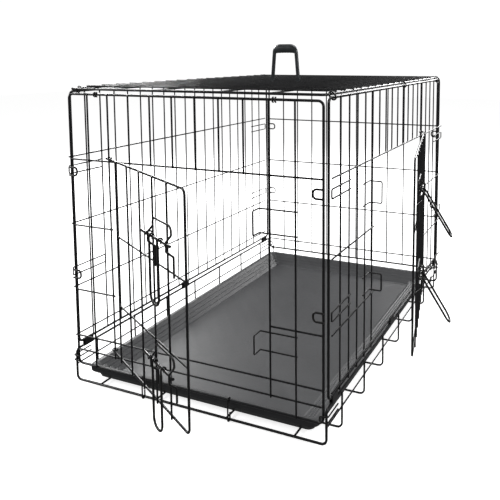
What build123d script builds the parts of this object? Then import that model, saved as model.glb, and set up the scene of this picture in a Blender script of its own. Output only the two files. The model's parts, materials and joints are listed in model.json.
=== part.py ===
from build123d import *
from math import cos, radians, sin
import os

os.makedirs("parts", exist_ok=True)

# A folding wire dog crate, in millimetres. The origin is the centre of its footprint on the floor.
# +Z is up, the small front end faces -Y, and the side door is on the +X side.

# Overall sizes, over the outer frame wires.
length = 914.0
width = 584.0
height = 635.0

# Wire radii.
frame_r = 2.5
side_r = 1.6
end_r = 1.8
floor_r = 2.0
hook_r = 1.5
bolt_r = 2.5
door_frame_r = 2.2
guard_r = 1.9
pull_r = 2.2

# Fits. A weld is a small bite of one wire into the next, lighter where thin wire is bent round thick wire.
# A running gap is the play round a hinge wire.
weld = 0.03
light_weld = 0.01
gap = 0.35
panel_gap = 1.0
top_gap = 0.6
bend = 10.0
small_bend = 3.5

# Heights of the base rail, of the two sorts of hinge wire and of the panel tops.
rail_z = 72.5
hinge_rise = 12.0
end_pivot_z = 44.0
top_drop = 5.5
top_inset = 5.2
end_top_drop = 10.0
base_wire_z = 39.0

# Spaces between uprights, and the uprights that carry the doors, counted from the left or front corner.
end_spaces = 11
front_hinge_post = 2
front_latch_post = 9
side_spaces = 19
side_latch_post = 5
side_hinge_post = 14

# Heights of the cross wires of the end panels and of the side panels.
end_cross_z = (487.0, 347.0, 207.0, 106.0, 74.5)
side_cross_z = (489.0, 346.0, 207.0, 100.0)

# Doors: how far each stands open, its width and its bars.
front_open = 30.5
side_open = 11.0
front_door_w = 363.0
side_door_w = 455.0
front_door_spaces = 6
side_door_spaces = 9
front_door_bar_z = (495.0, 347.0, 206.0, 94.0)
side_door_bar_z = (496.0, 346.0, 207.0, 90.0)

# Slide-bolt latches: the height of each bolt, and places along the door measured from the free edge.
front_latch_z = (398.0, 177.0)
side_latch_z = (416.0, 231.0)
keeper_low = 18.0
keeper_high = (27.0, 18.0)
bolt_back = 155.0
bolt_tip = 32.0
keeper_back = 24.6
guard_back = 113.0
guard_front = 37.0
pull_back = 108.0
pull_width = 36.0
pull_length = 113.0
front_pull_lean = 0.0
side_pull_lean = 31.0

# Tray.
tray_w = 536.0
tray_l = 878.0
tray_front_gap = 10.0
tray_top_z = 36.5
tray_wall = 2.5
tray_rim = 9.0
tray_corner = 18.0

# Carry handle.
handle_w = 70.0
handle_top_w = 57.0
handle_x = 6.0
handle_h = 91.0
handle_r = 4.6

# Planes that follow from the sizes above.
side_x = width / 2 - frame_r
base_y = length / 2 - frame_r
end_y = base_y - 0.4
end_x = side_x - 2 * frame_r - panel_gap
side_y = end_y - 2 * frame_r - 3.6
top_z = height - frame_r
side_top_z = top_z - top_drop
end_top_z = top_z - end_top_drop
hinge_z = rail_z + hinge_rise
top_x = side_x - top_inset
top_y = end_y - 2 * frame_r - top_gap
bow_z = floor_r
bar_z = bow_z + 2 * floor_r - weld
low_bar_z = 2 * hook_r + frame_r
side_n = frame_r + side_r - weld
side_cross_n = side_n + 2 * side_r - weld
end_n = frame_r + end_r - weld
end_cross_n = end_n - 2 * end_r + weld
end_pitch = 2 * end_x / end_spaces
side_pitch = 2 * side_y / side_spaces


def save(piece, name):
    """Labels one finished piece and writes it."""
    piece.part.label = name
    export_step(piece.part, f"parts/{name}.step")


def straight_wires(name, radius, runs):
    """Straight round wires, each its own solid, one for every (start, end)."""
    with BuildPart() as wires:
        for start, end in runs:
            run = Vector(*end) - Vector(*start)
            with BuildSketch(Plane(origin=start, z_dir=run)):
                Circle(radius)
            extrude(amount=run.length)
    save(wires, name)


def bent_wires(name, radius, routes, bends, closed=False, cuts=()):
    """Round wires bent along routes with rounded corners, parted where a straight run meets a bend."""
    with BuildPart() as wires:
        for route in routes:
            with BuildLine() as path:
                FilletPolyline(*route, radius=bends, close=closed)
            start = path.wire()
            with BuildSketch(Plane(origin=start @ 0, z_dir=start % 0)):
                Circle(radius)
            sweep(path=start)
        for cut in cuts:
            split(bisect_by=cut, keep=Keep.BOTH)
    save(wires, name)


def at_x(x):
    """The upright plane across X at x."""
    return Plane(origin=(x, 0, 0), z_dir=(1, 0, 0))


def at_y(y):
    """The upright plane across Y at y."""
    return Plane(origin=(0, y, 0), z_dir=(0, 1, 0))


def at_z(z):
    """The level plane at z."""
    return Plane(origin=(0, 0, z), z_dir=(0, 0, 1))


def end_post(k):
    """X of an end panel's upright, counted from the left corner."""
    return -end_x + k * end_pitch


def side_post(k):
    """Y of a side panel's upright, counted from the front corner."""
    return -side_y + k * side_pitch


# ---------------------------------------------------------------- base
# One thick wire runs round the base: the two low end bars, four short corner posts and the two rails.
base_loop = [
    (-side_x, -base_y, low_bar_z),
    (side_x, -base_y, low_bar_z),
    (side_x, -base_y, rail_z),
    (side_x, base_y, rail_z),
    (side_x, base_y, low_bar_z),
    (-side_x, base_y, low_bar_z),
    (-side_x, base_y, rail_z),
    (-side_x, -base_y, rail_z),
]
base_cuts = [at_z(low_bar_z + bend), at_z(rail_z - bend)]
base_cuts += [at_x(s * (side_x - bend)) for s in (-1, 1)]
base_cuts += [at_y(s * (base_y - bend)) for s in (-1, 1)]
bent_wires("base_frame_wire", frame_r, [base_loop], bend, True, base_cuts)

# Seven U-shaped floor bows stand on the floor and are welded outside the rails.
bow_count = 7
bow_first_y = -387.0
bow_pitch = 131.0
bow_x = side_x + frame_r + floor_r - weld
bow_y = [bow_first_y + bow_pitch * k for k in range(bow_count)]
bow_routes = [
    [(-bow_x, y, rail_z), (-bow_x, y, bow_z), (bow_x, y, bow_z), (bow_x, y, rail_z)]
    for y in bow_y
]
bow_cuts = [at_z(bow_z + bend), at_x(bend - bow_x), at_x(bow_x - bend)]
bent_wires("floor_bows", floor_r, bow_routes, bend, False, bow_cuts)

# Four long floor wires lie on the bows and end on the two low bars.
long_x = (-226.0, -82.0, 82.0, 226.0)
bar_face_y = base_y - frame_r + weld
straight_wires(
    "floor_long_wires",
    floor_r,
    [((x, -bar_face_y, bar_z), (x, bar_face_y, bar_z)) for x in long_x],
)

# One thin wire along each side, inside the legs of the bows.
low_x = bow_x - floor_r - side_r + weld
straight_wires(
    "base_side_wires",
    side_r,
    [((s * low_x, -bar_face_y, base_wire_z), (s * low_x, bar_face_y, base_wire_z)) for s in (-1, 1)],
)

# Sheet sleeves crimped round the rail hold the hinge wire of each side panel, three on each side.
sleeve_len = 26.0
sleeve_wall = 0.5
sleeve_in = frame_r + gap
sleeve_y = [side_post(0.56), side_post(8.5), side_post(18.44)]
with BuildPart() as base_hinge_sleeves:
    for s in (-1, 1):
        for y in sleeve_y:
            with BuildSketch(Plane.XZ.offset(-y - sleeve_len / 2)):
                with Locations((s * side_x, (rail_z + hinge_z) / 2)):
                    SlotCenterToCenter(hinge_rise, 2 * (sleeve_in + sleeve_wall), rotation=90)
                    SlotCenterToCenter(hinge_rise, 2 * sleeve_in, rotation=90, mode=Mode.SUBTRACT)
            extrude(amount=sleeve_len)
save(base_hinge_sleeves, "base_hinge_sleeves")

# J-links: each is crimped under the low bar and its ring holds the bottom bar of an end panel.
link_low_r = frame_r + hook_r - light_weld
link_ring_r = frame_r + gap + hook_r
link_tip_z = 17.0
front_link_x = (-114.0, 88.0)
rear_link_x = (-side_x + 17.0, side_x - 17.0)


def link_route(s, x):
    """From the tip behind the low bar, under it, up outside and over the panel's bar."""
    leg = s * (base_y + link_low_r)
    back = s * (base_y - link_low_r)
    ring = s * (end_y - link_ring_r)
    return [
        (x, back, link_tip_z),
        (x, back, low_bar_z - link_low_r),
        (x, leg, low_bar_z - link_low_r),
        (x, leg, end_pivot_z + link_ring_r),
        (x, ring, end_pivot_z + link_ring_r),
        (x, ring, end_pivot_z - link_ring_r),
        (x, s * end_y, end_pivot_z - link_ring_r),
    ]


link_bends = link_low_r - 0.05
for name, s, places in (("front_hinge_links", -1, front_link_x), ("rear_hinge_links", 1, rear_link_x)):
    link_cuts = [at_z(end_pivot_z), at_z(low_bar_z), at_y(s * end_y)]
    bent_wires(name, hook_r, [link_route(s, x) for x in places], link_bends, False, link_cuts)

# Corner hooks on the base: a U of thin wire, welded outside each corner post, that
# passes in front of the foot of the end panel and keeps it from swinging outwards.
foot_x = side_x + frame_r + hook_r - light_weld
foot_y = base_y + frame_r + hook_r - light_weld
foot_in_x = end_x - 5.5
foot_tail_y = length / 2 - 50.0
foot_low_z = 49.5
foot_high_z = 60.0


def foot_route(sx, sy):
    """From the tail along the side, round the corner, up and back again."""
    return [
        (sx * foot_x, sy * foot_tail_y, foot_low_z),
        (sx * foot_x, sy * foot_y, foot_low_z),
        (sx * foot_in_x, sy * foot_y, foot_low_z),
        (sx * foot_in_x, sy * foot_y, foot_high_z),
        (sx * foot_x, sy * foot_y, foot_high_z),
        (sx * foot_x, sy * foot_tail_y, foot_high_z),
    ]


foot_cuts = [at_y(s * (foot_y - small_bend)) for s in (-1, 1)]
foot_cuts += [at_x(s * (foot_in_x + small_bend)) for s in (-1, 1)]
foot_cuts += [at_x(s * (foot_x - small_bend)) for s in (-1, 1)]
foot_cuts += [at_z((foot_low_z + foot_high_z) / 2)]
for name, sy in (("front_base_hooks", -1), ("rear_base_hooks", 1)):
    bent_wires(name, hook_r, [foot_route(sx, sy) for sx in (-1, 1)], small_bend, False, foot_cuts)

# ---------------------------------------------------------------- tray
# A moulded pan with sloping walls and a flat rim. It lies on the long floor wires.
tray_z = bar_z + floor_r + 0.25
tray_y = -length / 2 + tray_front_gap + tray_l / 2
tray_taper = -8.0
tray_foot_inset = tray_rim + 5.0
tray_h = tray_top_z - tray_z
with BuildPart() as tray:
    with BuildSketch(Plane.XY.offset(tray_z)):
        with Locations((0, tray_y)):
            RectangleRounded(tray_w - 2 * tray_foot_inset, tray_l - 2 * tray_foot_inset, tray_corner - tray_rim)
    extrude(amount=tray_h, taper=tray_taper)
    with BuildSketch(Plane.XY.offset(tray_top_z - tray_wall)):
        with Locations((0, tray_y)):
            RectangleRounded(tray_w, tray_l, tray_corner)
    extrude(amount=tray_wall)
    with BuildSketch(Plane.XY.offset(tray_z + tray_wall)):
        with Locations((0, tray_y)):
            RectangleRounded(
                tray_w - 2 * (tray_foot_inset + tray_wall),
                tray_l - 2 * (tray_foot_inset + tray_wall),
                tray_corner - tray_rim - tray_wall,
            )
    extrude(amount=tray_h - tray_wall, taper=tray_taper, mode=Mode.SUBTRACT)
save(tray, "tray")

# ---------------------------------------------------------------- side panels
# Each has a thick frame whose bottom wire is its hinge, thin uprights outside it and cross wires outside those.
over = 1.5
for side, s in (("left", -1), ("right", 1)):
    frame_loop = [
        (s * side_x, -side_y, hinge_z),
        (s * side_x, side_y, hinge_z),
        (s * side_x, side_y, side_top_z),
        (s * side_x, -side_y, side_top_z),
    ]
    loop_cuts = [at_y(-side_y + bend), at_y(side_y - bend), at_z(hinge_z + bend), at_z(side_top_z - bend)]
    bent_wires(f"{side}_frame", frame_r, [frame_loop], bend, True, loop_cuts)

    x = s * (side_x + side_n)
    posts = []
    for k in range(1, side_spaces):
        y = side_post(k)
        in_door = side == "right" and side_latch_post < k < side_hinge_post
        if in_door:
            posts.append(((x, y, side_cross_z[0] - over), (x, y, side_top_z + over)))
        else:
            posts.append(((x, y, hinge_z - over), (x, y, side_top_z + over)))
    straight_wires(f"{side}_uprights", side_r, posts)

    x = s * (side_x + side_cross_n)
    end = side_y + over
    full = side_cross_z if side == "left" else (side_cross_z[0], side_cross_z[3])
    runs = [((x, -end, z), (x, end, z)) for z in full]
    if side == "right":
        for z in side_cross_z[1:3]:
            runs.append(((x, -end, z), (x, side_post(side_latch_post) + over, z)))
            runs.append(((x, side_post(side_hinge_post) - over, z), (x, end, z)))
    straight_wires(f"{side}_cross_wires", side_r, runs)

    # Corner hooks: thin U wires from the second upright to the corner, two at each end.
    hook_x = s * (side_x + side_n + side_r + hook_r - weld)
    hook_routes = []
    for sy in (-1, 1):
        tail = sy * -side_post(2)
        tip = sy * (side_y + 3.0)
        for low, high in ((453.0, 470.0), (233.0, 250.0)):
            hook_routes.append([(hook_x, tail, low), (hook_x, tip, low), (hook_x, tip, high), (hook_x, tail, high)])
    hook_cuts = [at_y(sy * (side_y + 3.0 - small_bend)) for sy in (-1, 1)]
    hook_cuts += [at_z(461.5), at_z(241.5)]
    bent_wires(f"{side}_corner_hooks", hook_r, hook_routes, small_bend, False, hook_cuts)

# ---------------------------------------------------------------- top panel
# The frame is inset and raised from the side panels' top wires, with close transverse wires above it.
top_loop = [(-top_x, -top_y, top_z), (top_x, -top_y, top_z), (top_x, top_y, top_z), (-top_x, top_y, top_z)]
top_cuts = [at_x(-top_x + bend), at_x(top_x - bend), at_y(-top_y + bend), at_y(top_y - bend)]
bent_wires("top_frame", frame_r, [top_loop], bend, True, top_cuts)
top_mesh_z = top_z + frame_r + side_r - weld
straight_wires(
    "top_transverse_wires",
    side_r,
    [((-top_x - over, side_post(k), top_mesh_z), (top_x + over, side_post(k), top_mesh_z)) for k in range(1, side_spaces)],
)
top_long_z = top_mesh_z - 2 * side_r + weld
top_long_x = (-180.0, -72.0, 72.0, 180.0)
top_long_y = top_y - frame_r + weld
straight_wires(
    "top_long_wires",
    side_r,
    [((x, -top_long_y, top_long_z), (x, top_long_y, top_long_z)) for x in top_long_x],
)

# C-rings join the top to the two side panels: ovals of wire round the top's edge wire and the side's top wire.
ring_r = frame_r + gap + hook_r
ring_y = (side_post(0.5), side_post(10.5), side_post(18.5))
with BuildPart() as top_rings:
    for s in (-1, 1):
        along = Vector(s * top_inset, 0, -top_drop).normalized()
        across = Vector(along.Z, 0, -along.X)
        for y in ring_y:
            upper = Vector(s * top_x, y, top_z) + along * (gap - weld)
            lower = Vector(s * side_x, y, side_top_z)
            with BuildLine() as path:
                Line(upper + across * ring_r, lower + across * ring_r)
                ThreePointArc(lower + across * ring_r, lower + along * ring_r, lower - across * ring_r)
                Line(lower - across * ring_r, upper - across * ring_r)
                ThreePointArc(upper - across * ring_r, upper - along * ring_r, upper + across * ring_r)
            ring = path.wire()
            with BuildSketch(Plane(origin=upper + across * ring_r, z_dir=along)):
                Circle(hook_r)
            sweep(path=ring)
    for s in (-1, 1):
        along = Vector(s * top_inset, 0, -top_drop).normalized()
        half = Vector(s * (top_x + side_x) / 2, 0, (top_z + side_top_z) / 2)
        split(bisect_by=Plane(origin=half, z_dir=along), keep=Keep.BOTH)
save(top_rings, "top_rings")

# Carry handle: a plastic loop with two hooked feet on the middle transverse wire.
foot_in = side_r + gap
handle_y = side_post(9)
handle_foot_w = 8.0
handle_foot_r = foot_in + 3.0
with BuildPart() as carry_handle:
    with BuildLine() as path:
        FilletPolyline(
            (handle_x - handle_w / 2, handle_y, top_mesh_z + handle_foot_r),
            (handle_x - handle_top_w / 2, handle_y, top_mesh_z + handle_h - handle_r),
            (handle_x + handle_top_w / 2, handle_y, top_mesh_z + handle_h - handle_r),
            (handle_x + handle_w / 2, handle_y, top_mesh_z + handle_foot_r),
            radius=16.0,
        )
    arch = path.wire()
    with BuildSketch(Plane(origin=arch @ 0, z_dir=arch % 0)):
        Circle(handle_r)
    sweep(path=arch)
    for s in (-1, 1):
        with BuildSketch(Plane.YZ.offset(handle_x + s * handle_w / 2 - handle_foot_w / 2)):
            with Locations((handle_y, top_mesh_z)):
                Circle(handle_foot_r)
            with Locations((handle_y, top_mesh_z + handle_foot_r)):
                Rectangle(2 * handle_foot_r, 2 * handle_foot_r)
            with Locations((handle_y, top_mesh_z)):
                Circle(foot_in, mode=Mode.SUBTRACT)
        extrude(amount=handle_foot_w)
    for cut in (at_z(top_mesh_z + 2 * handle_foot_r), at_z(top_mesh_z + handle_h - handle_r - 16.0)):
        split(bisect_by=cut, keep=Keep.BOTH)
    split(bisect_by=at_x(handle_x), keep=Keep.BOTH)
save(carry_handle, "carry_handle")

# ---------------------------------------------------------------- end panels
for end, s in (("front", -1), ("rear", 1)):
    frame_loop = [
        (-end_x, s * end_y, end_pivot_z),
        (end_x, s * end_y, end_pivot_z),
        (end_x, s * end_y, end_top_z),
        (-end_x, s * end_y, end_top_z),
    ]
    loop_cuts = [at_x(-end_x + bend), at_x(end_x - bend), at_z(end_pivot_z + bend), at_z(end_top_z - bend)]
    bent_wires(f"{end}_frame", frame_r, [frame_loop], bend, True, loop_cuts)

    y = s * (end_y + end_n)
    posts = []
    for k in range(1, end_spaces):
        x = end_post(k)
        if end == "front" and front_hinge_post < k < front_latch_post:
            posts.append(((x, y, end_cross_z[0] - over), (x, y, end_top_z + over)))
        elif end == "front" and k in (front_hinge_post, front_latch_post):
            posts.append(((x, y, end_cross_z[4] - over), (x, y, end_top_z + over)))
        else:
            posts.append(((x, y, end_pivot_z), (x, y, end_top_z + over)))
    straight_wires(f"{end}_uprights", end_r, posts)

    y = s * (end_y + end_cross_n)
    reach = end_x - frame_r + weld
    if end == "front":
        runs = [((-reach, y, z), (reach, y, z)) for z in (end_cross_z[0], end_cross_z[3], end_cross_z[4])]
        for z in end_cross_z[1:3]:
            runs.append(((-reach, y, z), (end_post(front_hinge_post) + over, y, z)))
        runs.append(((end_post(front_latch_post) - over, y, end_cross_z[2]), (reach, y, end_cross_z[2])))
    else:
        runs = [((-reach, y, z), (reach, y, z)) for z in end_cross_z[:3] + end_cross_z[4:]]
    straight_wires(f"{end}_cross_wires", end_r, runs)

    # Corner loops: thick D-shaped wires welded across each end frame wire.
    loop_y = s * (end_y + frame_r + floor_r - weld)
    loop_out = end_x + frame_r
    loop_in = end_x - 18.0
    loop_routes = []
    for sx in (-1, 1):
        for low, high in ((453.0, 470.0), (233.0, 250.0)):
            loop_routes.append(
                [(sx * loop_out, loop_y, low), (sx * loop_in, loop_y, low), (sx * loop_in, loop_y, high), (sx * loop_out, loop_y, high)]
            )
    loop_cuts = [at_x(sx * (loop_in + 7.0)) for sx in (-1, 1)] + [at_z(461.5), at_z(241.5)]
    bent_wires(f"{end}_corner_loops", floor_r, loop_routes, 7.0, False, loop_cuts)

# Two pairs of small hooks curled over the front panel's top wire.
top_hook_x = [c + d for c in (-212.0, end_post(front_latch_post) + 10.0) for d in (-2.5, 2.5)]
with BuildPart() as front_top_rings:
    for x in top_hook_x:
        with BuildLine() as path:
            FilletPolyline(
                (x, -end_y, end_top_z - link_ring_r),
                (x, -end_y - link_low_r, end_top_z - link_ring_r),
                (x, -end_y - link_low_r, end_top_z + link_low_r),
                (x, -end_y + light_weld, end_top_z + link_low_r),
                radius=link_low_r - 0.1,
            )
        ring = path.wire()
        with BuildSketch(Plane(origin=ring @ 0, z_dir=ring % 0)):
            Circle(hook_r)
        sweep(path=ring)
    split(bisect_by=at_z(end_top_z), keep=Keep.BOTH)
save(front_top_rings, "front_top_rings")

# ---------------------------------------------------------------- keepers
# U wires whose closed ends are bent out through the doorway, where the bolts go through them.
front_bar_n = end_n + end_r + gap + door_frame_r
front_mesh_n = front_bar_n + door_frame_r + end_r - weld
front_bolt_n = front_mesh_n + end_r + 2 * (gap + hook_r) + bolt_r
side_bar_n = side_cross_n + side_r + gap + door_frame_r
side_mesh_n = side_bar_n + door_frame_r + side_r - weld
side_bolt_n = side_mesh_n + side_r + 2 * (gap + hook_r) + bolt_r
keeper_gap = 0.45
front_keeper_n = front_bolt_n + bolt_r + keeper_gap + hook_r
side_keeper_n = side_bolt_n + bolt_r + keeper_gap + hook_r
front_keeper_root = end_n - end_r - hook_r + weld
side_keeper_root = side_n - side_r - hook_r + weld
front_keeper_x = end_post(front_hinge_post) + front_door_w - keeper_back
side_keeper_y = side_post(side_hinge_post) - side_door_w + keeper_back
keeper_bend = 3.0

front_keeper_routes = []
side_keeper_routes = []
for bolt_z, rise in zip(front_latch_z, keeper_high):
    low, high = bolt_z - keeper_low, bolt_z + rise
    outer = -end_y - front_keeper_n
    inner = -end_y - front_keeper_root
    tail = end_post(front_latch_post + 1) + over
    front_keeper_routes.append(
        [
            (tail, inner, low),
            (front_keeper_x, inner, low),
            (front_keeper_x, outer, low),
            (front_keeper_x, outer, high),
            (front_keeper_x, inner, high),
            (tail, inner, high),
        ]
    )
for bolt_z, rise in zip(side_latch_z, keeper_high):
    low, high = bolt_z - keeper_low, bolt_z + rise
    outer = side_x + side_keeper_n
    inner = side_x + side_keeper_root
    tail = side_post(side_latch_post - 1) - over
    side_keeper_routes.append(
        [
            (inner, tail, low),
            (inner, side_keeper_y, low),
            (outer, side_keeper_y, low),
            (outer, side_keeper_y, high),
            (inner, side_keeper_y, high),
            (inner, tail, high),
        ]
    )
front_keeper_cuts = [at_x(front_keeper_x + keeper_bend), at_y(-end_y - front_keeper_n + keeper_bend)]
side_keeper_cuts = [at_y(side_keeper_y - keeper_bend), at_x(side_x + side_keeper_n - keeper_bend)]
front_keeper_cuts += [at_z(bolt_z) for bolt_z in front_latch_z]
side_keeper_cuts += [at_z(bolt_z) for bolt_z in side_latch_z]
bent_wires("front_keepers", hook_r, front_keeper_routes, keeper_bend, False, front_keeper_cuts)
bent_wires("right_keepers", hook_r, side_keeper_routes, keeper_bend, False, side_keeper_cuts)


# ---------------------------------------------------------------- doors
class Door:
    """A door's own axes: u from its hinge wire, n out of the panel's frame plane, z up."""

    def __init__(self, hinge, hinge_n, along, out, radius, w, spaces, bars, bar_n, bolt_n, latches, lean):
        self.hinge = Vector(*hinge, 0)
        self.hinge_n = hinge_n
        self.along = Vector(*along, 0)
        self.out = Vector(*out, 0)
        self.radius = radius
        self.w = w
        self.spaces = spaces
        self.bars = bars
        self.bar_n = bar_n
        self.mesh_n = bar_n + door_frame_r + radius - weld
        self.mid_n = self.mesh_n - 2 * radius + weld
        self.bolt_n = bolt_n
        self.latches = latches
        self.lean = lean

    def at(self, u, n, z):
        """The point at u, n, z as a tuple."""
        p = self.hinge + self.along * u + self.out * (n - self.hinge_n)
        return (p.X, p.Y, z)

    def across(self, u):
        """The plane across the door at u."""
        return Plane(origin=self.at(u, 0, 0), z_dir=self.along)

    def level(self, n):
        """The plane parallel to the door at n."""
        return Plane(origin=self.at(0, n, 0), z_dir=self.out)


a, b = radians(front_open), radians(side_open)
front_door = Door(
    (end_post(front_hinge_post), -end_y - end_n),
    end_n,
    (cos(a), -sin(a)),
    (-sin(a), -cos(a)),
    end_r,
    front_door_w,
    front_door_spaces,
    front_door_bar_z,
    front_bar_n,
    front_bolt_n,
    front_latch_z,
    radians(front_pull_lean),
)
side_door = Door(
    (side_x + side_n, side_post(side_hinge_post)),
    side_n,
    (sin(b), -cos(b)),
    (cos(b), sin(b)),
    side_r,
    side_door_w,
    side_door_spaces,
    side_door_bar_z,
    side_bar_n,
    side_bolt_n,
    side_latch_z,
    radians(side_pull_lean),
)

door_over = 2.0
eye_cut = 8.0
for name, door in (("front", front_door), ("side", side_door)):
    r, at = door.radius, door.at
    eye = r + gap + door_frame_r
    top_bar, bottom_bar = door.bars[0], door.bars[3]

    # One thick wire makes the frame: an eye round the hinge upright, the top, the free edge, the bottom, an eye.
    route = [
        at(eye, door.hinge_n, top_bar),
        at(eye, door.hinge_n - eye, top_bar),
        at(-eye, door.hinge_n - eye, top_bar),
        at(-eye, door.bar_n, top_bar),
        at(door.w, door.bar_n, top_bar),
        at(door.w, door.bar_n, bottom_bar),
        at(-eye, door.bar_n, bottom_bar),
        at(-eye, door.hinge_n - eye, bottom_bar),
        at(eye, door.hinge_n - eye, bottom_bar),
        at(eye, door.hinge_n, bottom_bar),
    ]
    turn = eye - 0.05
    bends = [turn, turn, turn, bend, bend, turn, turn, turn]
    cuts = [door.across(eye_cut), door.level(door.hinge_n), door.across(door.w - bend)]
    cuts += [at_z(top_bar - bend), at_z(bottom_bar + bend)]
    bent_wires(f"{name}_door_frame", door_frame_r, [route], bends, False, cuts)

    # The middle bars run from the first upright to the free edge, and leave the hinge clear to swing wide.
    pitch = door.w / door.spaces
    last = door.w - door_frame_r + weld
    runs = [(at(pitch - door_over, door.mid_n, z), at(last, door.mid_n, z)) for z in door.bars[1:3]]
    straight_wires(f"{name}_door_middle_bars", r, runs)

    # The uprights stand outside the frame and the bars.
    places = [pitch * k for k in range(1, door.spaces)]
    runs = [(at(u, door.mesh_n, bottom_bar - door_over), at(u, door.mesh_n, top_bar + door_over)) for u in places]
    straight_wires(f"{name}_door_uprights", r, runs)

    # Latches. A bent guard stands over each bolt, and an eye on an upright carries the bolt's back end.
    bolt_start = door.w - bolt_back
    bolt_end = door.w - bolt_tip
    guard_a = door.w - guard_back
    guard_b = door.w - guard_front
    guard_n = door.bolt_n + bolt_r + gap + guard_r
    rest_n = door.mesh_n + r + guard_r - weld
    foot_n = door.mid_n + r + guard_r - weld
    eye_r = bolt_r + gap + hook_r
    back_post = pitch * int((guard_a - 1.0) / pitch)
    eye_u = back_post + (-1 if back_post - r - 2 * hook_r > bolt_start else 1) * (r + hook_r - weld)
    guard_routes = []
    eye_routes = []
    for bolt_z, bar in zip(door.latches, door.bars[1:3]):
        climb = bolt_z - 20.0
        foot_z = min(bar - 4.0, bolt_z - 45.0)
        guard_routes.append(
            [
                at(guard_a, foot_n, foot_z),
                at(guard_a, foot_n, climb),
                at(guard_a, guard_n, bolt_z - 9.0),
                at(guard_a, guard_n, bolt_z + 7.0),
                at(guard_a, rest_n, bolt_z + 16.0),
                at(guard_a, rest_n, bolt_z + 31.0),
                at(guard_b, rest_n, bolt_z + 31.0),
                at(guard_b, rest_n, bolt_z + 16.0),
                at(guard_b, guard_n, bolt_z + 7.0),
                at(guard_b, guard_n, bolt_z - 9.0),
                at(guard_b, foot_n, climb),
                at(guard_b, foot_n, foot_z),
            ]
        )
        eye_routes.append(
            [
                at(eye_u, door.bolt_n, bolt_z - eye_r),
                at(eye_u, door.mesh_n, bolt_z - eye_r),
                at(eye_u, door.mesh_n, bolt_z + eye_r),
                at(eye_u, door.bolt_n + eye_r, bolt_z + eye_r),
                at(eye_u, door.bolt_n + eye_r, bolt_z - 1.0),
            ]
        )
    cuts = [door.across((guard_a + guard_b) / 2)]
    for bolt_z in door.latches:
        cuts += [at_z(bolt_z + 20.0), at_z(bolt_z + 4.0), at_z(bolt_z - 6.0), at_z(bolt_z - 24.0)]
    bent_wires(f"{name}_latch_guards", guard_r, guard_routes, [3.0] * 4 + [10.0] * 2 + [3.0] * 4, False, cuts)
    cuts = [door.level(door.bolt_n)] + [at_z(bolt_z) for bolt_z in door.latches]
    bent_wires(f"{name}_latch_eyes", hook_r, eye_routes, eye_r - 0.05, False, cuts)

    # The bolts are straight rods. Each carries a loop that hangs from it as a pull: two thin curls of wire round
    # the bolt, free to pass over the uprights, and a thicker grip between them.
    for place, bolt_z in zip(("upper", "lower"), door.latches):
        ends = [(at(bolt_start, door.bolt_n, bolt_z), at(bolt_end, door.bolt_n, bolt_z))]
        straight_wires(f"{name}_{place}_bolt", bolt_r, ends)
        back = door.w - pull_back
        front = back + pull_width
        hang = door.out * sin(door.lean) - Vector(0, 0, cos(door.lean))
        face = door.out * cos(door.lean) + Vector(0, 0, sin(door.lean))
        turn = eye_r - 0.05
        neck = eye_r + 3.0
        grip = []
        with BuildPart() as pull:
            for u in (back, front):
                centre = Vector(*at(u, door.bolt_n, bolt_z))
                curl = [
                    centre + hang * eye_r,
                    centre + (hang - face) * eye_r,
                    centre - (hang + face) * eye_r,
                    centre - (hang - face) * eye_r,
                    centre + hang * (neck + 1.0) + face * eye_r,
                ]
                with BuildLine() as path:
                    FilletPolyline(*curl, radius=turn)
                start = path.wire()
                with BuildSketch(Plane(origin=start @ 0, z_dir=start % 0)):
                    Circle(hook_r)
                sweep(path=start)
                ends = [centre + hang * drop + face * eye_r for drop in (neck, pull_length)]
                grip += ends if u == back else ends[::-1]
            with BuildLine() as path:
                FilletPolyline(*grip, radius=16.0)
            start = path.wire()
            with BuildSketch(Plane(origin=start @ 0, z_dir=start % 0)):
                Circle(pull_r)
            sweep(path=start)
            split(bisect_by=Plane(origin=centre, z_dir=face), keep=Keep.BOTH)
            for drop in (neck, pull_length - 16.0):
                split(bisect_by=Plane(origin=centre + hang * drop, z_dir=hang), keep=Keep.BOTH)
        save(pull, f"{name}_{place}_pull")
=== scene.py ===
import json
from math import pi, radians

import bpy
import numpy as np
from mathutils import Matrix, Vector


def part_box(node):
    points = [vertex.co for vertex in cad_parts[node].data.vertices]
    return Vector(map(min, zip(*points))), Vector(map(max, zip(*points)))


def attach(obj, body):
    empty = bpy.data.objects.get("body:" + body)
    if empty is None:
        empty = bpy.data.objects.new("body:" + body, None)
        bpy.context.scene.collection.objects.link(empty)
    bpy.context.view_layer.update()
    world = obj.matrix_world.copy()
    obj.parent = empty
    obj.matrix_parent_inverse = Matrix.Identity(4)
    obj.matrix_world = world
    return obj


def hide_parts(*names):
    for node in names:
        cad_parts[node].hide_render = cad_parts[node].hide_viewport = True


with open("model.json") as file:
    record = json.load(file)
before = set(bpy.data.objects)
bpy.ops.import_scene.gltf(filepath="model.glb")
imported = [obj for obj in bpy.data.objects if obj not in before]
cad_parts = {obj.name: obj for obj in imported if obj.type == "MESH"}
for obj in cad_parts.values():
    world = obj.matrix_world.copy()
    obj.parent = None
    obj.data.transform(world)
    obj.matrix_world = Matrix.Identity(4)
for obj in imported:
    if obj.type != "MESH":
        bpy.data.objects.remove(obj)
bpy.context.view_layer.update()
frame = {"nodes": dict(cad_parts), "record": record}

# ---------------------------------------------------------------- camera
# Stands at eye height off the crate's right front corner, where the front door and the side door both show.
# The shift frames the crate without tilting its upright wires.
camera_data = bpy.data.cameras.new("camera")
camera_data.sensor_width = 36.0
camera_data.lens = 45.64
camera_data.shift_x = -0.0952
camera_data.shift_y = -0.2597
camera = bpy.data.objects.new("camera", camera_data)
camera.location = (0.6874, -1.4485, 0.6990)
camera.rotation_euler = (radians(90 - 5.806), radians(0.2), radians(24.445))
bpy.context.scene.collection.objects.link(camera)
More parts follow.
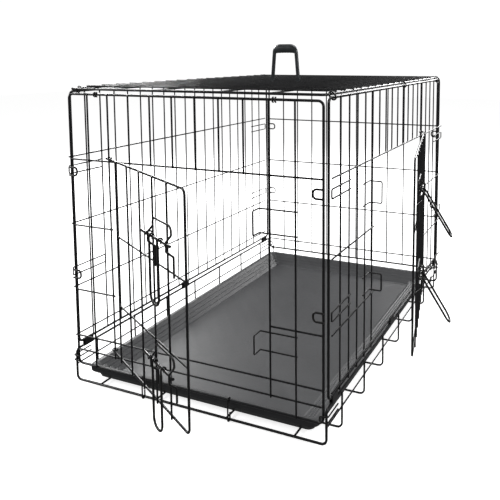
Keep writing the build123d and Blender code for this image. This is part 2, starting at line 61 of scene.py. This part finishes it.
bpy.context.scene.camera = camera


# ---------------------------------------------------------------- floor and light
# A plain white floor, with soft lamps overhead, from the left and from the right. Smaller, harder ones behind put
# bright lines on the open doors and a sheen on the tray. Both floor and sky look white to the eye but light the
# black wire only a little, as a dark room round a white sweep does.
class Sock:
    """One socket of a node tree. Arithmetic on it adds Math nodes, so masks can be written as sums."""

    def __init__(self, tree, socket):
        self.tree = tree
        self.socket = socket

    def math(self, operation, other):
        """A Math node of this value and another."""
        return node(self.tree, "ShaderNodeMath", {"operation": operation}, {0: self, 1: other})

    def __add__(self, other):
        return self.math("ADD", other)

    def __mul__(self, other):
        return self.math("MULTIPLY", other)

    __radd__ = __add__
    __rmul__ = __mul__


def node(tree, kind, settings, inputs, output=0):
    """Adds a node, sets its settings, then its sockets from values or other sockets."""
    made = tree.nodes.new(kind)
    for key, value in settings.items():
        if key == "stops":
            ramp = made.color_ramp
            for k, (place, colour) in enumerate(value):
                stop = ramp.elements[k] if k < 2 else ramp.elements.new(place)
                stop.position = place
                stop.color = colour
        else:
            setattr(made, key, value)
    for key, value in inputs.items():
        if isinstance(value, Sock):
            tree.links.new(value.socket, made.inputs[key])
        else:
            made.inputs[key].default_value = value
    return Sock(tree, made.outputs[output])


def new_finish(name, **constants):
    """A material with its shader's own sockets set. Returns the material, its tree and the shader."""
    finish = bpy.data.materials.new(name)
    finish.use_nodes = True
    tree = finish.node_tree
    shader = tree.nodes["Principled BSDF"]
    for socket, value in constants.items():
        shader.inputs[socket.replace("_", " ")].default_value = value
    return finish, tree, shader


def link(tree, sock, shader, name):
    """Joins a value to one of the shader's sockets."""
    tree.links.new(sock.socket, shader.inputs[name])


def grid_piece(name, points, close_u, close_v, material, caps=False):
    """A mesh from an array of points (rows, columns, 3), with quads between neighbours, and flat caps on the
    first and last row where asked."""
    rows, columns = points.shape[:2]
    index = np.arange(rows * columns).reshape(rows, columns)
    a = index if close_u else index[:-1]
    b = np.roll(index, -1, 0) if close_u else index[1:]
    if close_v:
        quads = np.stack([a, np.roll(a, -1, 1), np.roll(b, -1, 1), b], -1).reshape(-1, 4)
    else:
        quads = np.stack([a[:, :-1], a[:, 1:], b[:, 1:], b[:, :-1]], -1).reshape(-1, 4)
    faces = quads.tolist()
    if caps:
        faces += [index[0, ::-1].tolist(), index[-1].tolist()]
    mesh = bpy.data.meshes.new(name)
    mesh.from_pydata(points.reshape(-1, 3).tolist(), [], faces)
    mesh.shade_smooth()
    mesh.materials.append(material)
    piece = bpy.data.objects.new(name, mesh)
    bpy.context.scene.collection.objects.link(piece)
    return piece


floor_finish, tree, shader = new_finish(
    "floor_paper", Roughness=0.9, Specular_IOR_Level=0.1, Emission_Color=(1, 1, 1, 1), Emission_Strength=0.8
)
place = node(tree, "ShaderNodeTexCoord", {}, {}, 3)
grain = node(tree, "ShaderNodeTexNoise", {}, {"Vector": place, "Scale": 3.0})
paper_stops = [(0.0, (0.9, 0.9, 0.9, 1)), (1.0, (0.93, 0.93, 0.93, 1))]
paper = node(tree, "ShaderNodeValToRGB", {"stops": paper_stops}, {0: grain})
link(tree, paper, shader, "Base Color")
floor_half = 9.0
across, along = np.meshgrid([-floor_half, floor_half], [-floor_half, floor_half])
floor_points = np.stack([across, along, np.zeros_like(across)], -1)
floor = grid_piece("floor", floor_points, False, False, floor_finish)
floor.visible_diffuse = False
floor.visible_glossy = False

world = bpy.data.worlds.new("studio")
world.use_nodes = True
sky = world.node_tree.nodes["Background"]
sky.inputs["Color"].default_value = (1, 1, 1, 1)
sky_fill = 0.2
sky_seen = 0.84
seen = node(world.node_tree, "ShaderNodeLightPath", {}, {}, 0)
link(world.node_tree, seen * sky_seen + sky_fill, sky, "Strength")
bpy.context.scene.world = world
bpy.context.scene.view_settings.view_transform = "Standard"

lamp_target = np.array([0.0, 0.0, 0.3])
for name, spot, size, power in (
    ("overhead_lamp", (0.3, 0.0, 2.6), 1.6, 34.0),
    ("left_lamp", (-2.2, -1.9, 1.9), 0.9, 42.0),
    ("right_lamp", (2.6, -0.4, 1.4), 0.8, 26.0),
    ("back_lamp", (-1.9, 1.5, 1.5), 0.7, 46.0),
    ("sheen_lamp", (0.1, 2.7, 1.3), 0.9, 30.0),
):
    lamp_data = bpy.data.lights.new(name, "AREA")
    lamp_data.size = size
    lamp_data.energy = power
    lamp = bpy.data.objects.new(name, lamp_data)
    lamp.location = spot
    look = lamp_target - np.array(spot)
    dip = np.arcsin(-look[2] / np.linalg.norm(look))
    lamp.rotation_euler = (pi / 2 - dip, 0, np.arctan2(look[1], look[0]) - pi / 2)
    bpy.context.scene.collection.objects.link(lamp)

# ---------------------------------------------------------------- coated wire
# Every wire is drawn steel with a thin black electro-coat. The coat is satin and lies a little uneven on the wire.
# On the bolts it is worn, so they are greyer and brighter.


def wire_finish(name, dark, light, rough_low, rough_high, metal, coat):
    """The black coat: a fine orange peel, faint streaks of thin coat and a roughness that wanders."""
    finish, tree, shader = new_finish(
        name, Metallic=metal, Coat_Weight=coat, Coat_Roughness=0.12, Specular_IOR_Level=0.3
    )
    place = node(tree, "ShaderNodeTexCoord", {}, {}, 3)
    broad = node(tree, "ShaderNodeTexNoise", {}, {"Vector": place, "Scale": 14.0, "Detail": 3.0})
    fine = node(tree, "ShaderNodeTexNoise", {}, {"Vector": place, "Scale": 420.0, "Detail": 2.0})
    mix = broad * 0.7 + fine * 0.3
    colour = node(tree, "ShaderNodeValToRGB", {"stops": [(0.35, (*dark, 1)), (0.75, (*light, 1))]}, {0: mix})
    link(tree, colour, shader, "Base Color")
    link(tree, broad * (rough_high - rough_low) + rough_low, shader, "Roughness")
    peel = node(tree, "ShaderNodeBump", {}, {"Height": fine, "Strength": 0.12, "Distance": 0.0002})
    link(tree, peel, shader, "Normal")
    return finish


coats = {
    "frame_wire": wire_finish("frame_coat", (0.006, 0.006, 0.007), (0.014, 0.014, 0.015), 0.22, 0.36, 0.0, 0.12),
    "mesh_wire": wire_finish("mesh_coat", (0.005, 0.005, 0.006), (0.012, 0.012, 0.013), 0.22, 0.38, 0.0, 0.08),
    "hook_wire": wire_finish("hook_coat", (0.006, 0.006, 0.007), (0.018, 0.017, 0.016), 0.24, 0.42, 0.0, 0.1),
    "sleeve": wire_finish("sleeve_coat", (0.007, 0.007, 0.008), (0.016, 0.016, 0.017), 0.3, 0.5, 0.0, 0.05),
    "bolt": wire_finish("bolt_coat", (0.02, 0.02, 0.021), (0.06, 0.06, 0.06), 0.16, 0.3, 0.6, 0.5),
}

# ---------------------------------------------------------------- tray
# A vacuum-formed pan of black plastic. Its wide rim is flat, three low ridges step down inside it, a short skirt
# hangs outside, and the floor is pebbled so that it can be wiped but isn't slippery.
tray_finish, tree, shader = new_finish("tray_plastic", Specular_IOR_Level=0.5)
place = node(tree, "ShaderNodeTexCoord", {}, {}, 3)
pebbles = node(tree, "ShaderNodeTexVoronoi", {}, {"Vector": place, "Scale": 330.0})
cloud = node(tree, "ShaderNodeTexNoise", {}, {"Vector": place, "Scale": 5.0, "Detail": 4.0})
scuff = node(tree, "ShaderNodeTexNoise", {}, {"Vector": place, "Scale": 90.0, "Detail": 5.0})
pan_mix = cloud * 0.75 + scuff * 0.25
pan_stops = [(0.3, (0.02, 0.021, 0.0235, 1)), (0.75, (0.042, 0.043, 0.046, 1))]
pan_colour = node(
    tree, "ShaderNodeValToRGB", {"stops": pan_stops}, {0: pan_mix}
)
link(tree, pan_colour, shader, "Base Color")
link(tree, scuff * 0.16 + 0.4, shader, "Roughness")
pebbled = node(tree, "ShaderNodeBump", {}, {"Height": pebbles, "Strength": 0.25, "Distance": 0.0004})
link(tree, pebbled, shader, "Normal")

tray_low, tray_high = (np.array(corner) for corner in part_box("tray"))
tray_half = (tray_high - tray_low)[:2] / 2
tray_mid = (tray_high + tray_low)[:2] / 2
rim_z, base_z = tray_high[2], tray_low[2]
corner_r = 0.018

# The section from the middle of the underside, out and up to the rim, and back in along the top: the inset
# from the rim's edge and the height.
floor_z = base_z + 0.0027
under_rim = rim_z - 0.0026
tray_section = np.array(
    [
        (0.240, base_z),
        (0.0500, base_z),
        (0.0185, base_z),
        (0.0160, base_z + 0.0012),
        (0.0105, rim_z - 0.0130),
        (0.0095, rim_z - 0.0120),
        (0.0012, rim_z - 0.0116),
        (0.0004, rim_z - 0.0106),
        (0.0000, rim_z - 0.0022),
        (0.0006, rim_z - 0.0006),
        (0.0020, rim_z),
        (0.0105, rim_z),
        (0.0125, rim_z - 0.0008),
        (0.0165, rim_z - 0.0075),
        (0.0180, rim_z - 0.0080),
        (0.0205, rim_z - 0.0066),
        (0.0230, rim_z - 0.0080),
        (0.0262, rim_z - 0.0138),
        (0.0280, rim_z - 0.0142),
        (0.0305, rim_z - 0.0128),
        (0.0330, rim_z - 0.0142),
        (0.0362, rim_z - 0.0196),
        (0.0380, rim_z - 0.0200),
        (0.0405, rim_z - 0.0186),
        (0.0430, rim_z - 0.0200),
        (0.0470, floor_z + 0.0004),
        (0.0500, floor_z),
        (0.2400, floor_z),
    ]
)


def rounded_outline(inset, steps=12):
    """Points of a rectangle with round corners, this far inside the rim: each corner is a quarter circle whose
    radius shrinks with the inset, and straight sides join them."""
    radius = np.maximum(corner_r - inset * 0.3, 0.008)
    half = tray_half - inset
    turn = np.linspace(0, pi / 2, steps)
    parts = []
    for k, (sx, sy) in enumerate(((1, 1), (-1, 1), (-1, -1), (1, -1))):
        centre = (half - radius) * (sx, sy)
        angle = turn + k * pi / 2
        parts.append(centre + radius * np.stack([np.cos(angle), np.sin(angle)], -1))
    return np.concatenate(parts) + tray_mid


rings = [rounded_outline(inset) for inset, _ in tray_section]
heights = [np.full((len(ring), 1), z) for ring, (_, z) in zip(rings, tray_section)]
tray_points = np.stack([np.hstack(pair) for pair in zip(rings, heights)])
tray_pan = grid_piece("tray_pan", tray_points, False, True, tray_finish, caps=True)
crease = tray_pan.modifiers.new("crease", "EDGE_SPLIT")
crease.split_angle = radians(50)
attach(tray_pan, "tray")
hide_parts("tray")

# ---------------------------------------------------------------- carry handle
# Moulded in glossy black plastic: two legs with hooked feet on a wire of the top, and a deep grip between them.
handle_finish, tree, shader = new_finish("handle_plastic", Coat_Weight=0.4, Coat_Roughness=0.1)
place = node(tree, "ShaderNodeTexCoord", {}, {}, 3)
mould = node(tree, "ShaderNodeTexNoise", {}, {"Vector": place, "Scale": 60.0, "Detail": 3.0})
plastic_stops = [(0.3, (0.012, 0.014, 0.016, 1)), (0.8, (0.03, 0.036, 0.04, 1))]
plastic = node(
    tree, "ShaderNodeValToRGB", {"stops": plastic_stops}, {0: mould}
)
link(tree, plastic, shader, "Base Color")
link(tree, mould * 0.15 + 0.25, shader, "Roughness")
skin = node(tree, "ShaderNodeBump", {}, {"Height": mould, "Strength": 0.1, "Distance": 0.0003})
link(tree, skin, shader, "Normal")

grip_low, grip_high = (np.array(corner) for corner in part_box("carry_handle"))
grip_tall, grip_deep = 0.021, 0.0098
grip_mid = (grip_low + grip_high) / 2
grip_reach = (grip_high[0] - grip_low[0]) / 2 - 0.0065
along = np.linspace(-1, 1, 49)[:, None]
turn = np.linspace(0, 2 * pi, 32, endpoint=False)[None, :]
# The section is a flattened ellipse. It swells in the middle and tapers to the legs' width at both ends, and its
# top edge follows the handle's top as an arch.
fill = np.sqrt(np.clip(1 - along**6, 0.0, 1)) * 0.92 + 0.08
lobes = 1 + 0.02 * np.cos(along * 9 * pi)
half_z = grip_tall / 2 * fill * lobes
half_y = grip_deep / 2 * fill
grip_x = grip_mid[0] + grip_reach * along + 0 * turn
grip_y = grip_mid[1] + half_y * np.sign(np.cos(turn)) * np.abs(np.cos(turn)) ** 0.7
grip_z = grip_high[2] - 0.0004 - grip_tall / 2 - 0.006 * along**4 + half_z * np.sin(turn)
grip_points = np.stack([grip_x, grip_y, grip_z], -1)
handle_grip = grid_piece("handle_grip", grip_points, False, True, handle_finish, caps=True)
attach(handle_grip, "carry_handle")

# ---------------------------------------------------------------- finishes on the wires
# Each CAD wire keeps its shape and takes the coat of its slot.
slots = {row["node"]: row["material_slot"] for row in frame["record"]["subparts"]}
for name, wire in frame["nodes"].items():
    finish = handle_finish if name == "carry_handle" else coats.get(slots.get(name), tray_finish)
    if not wire.material_slots:
        wire.data.materials.append(finish)
    for slot in wire.material_slots:
        slot.material = finish
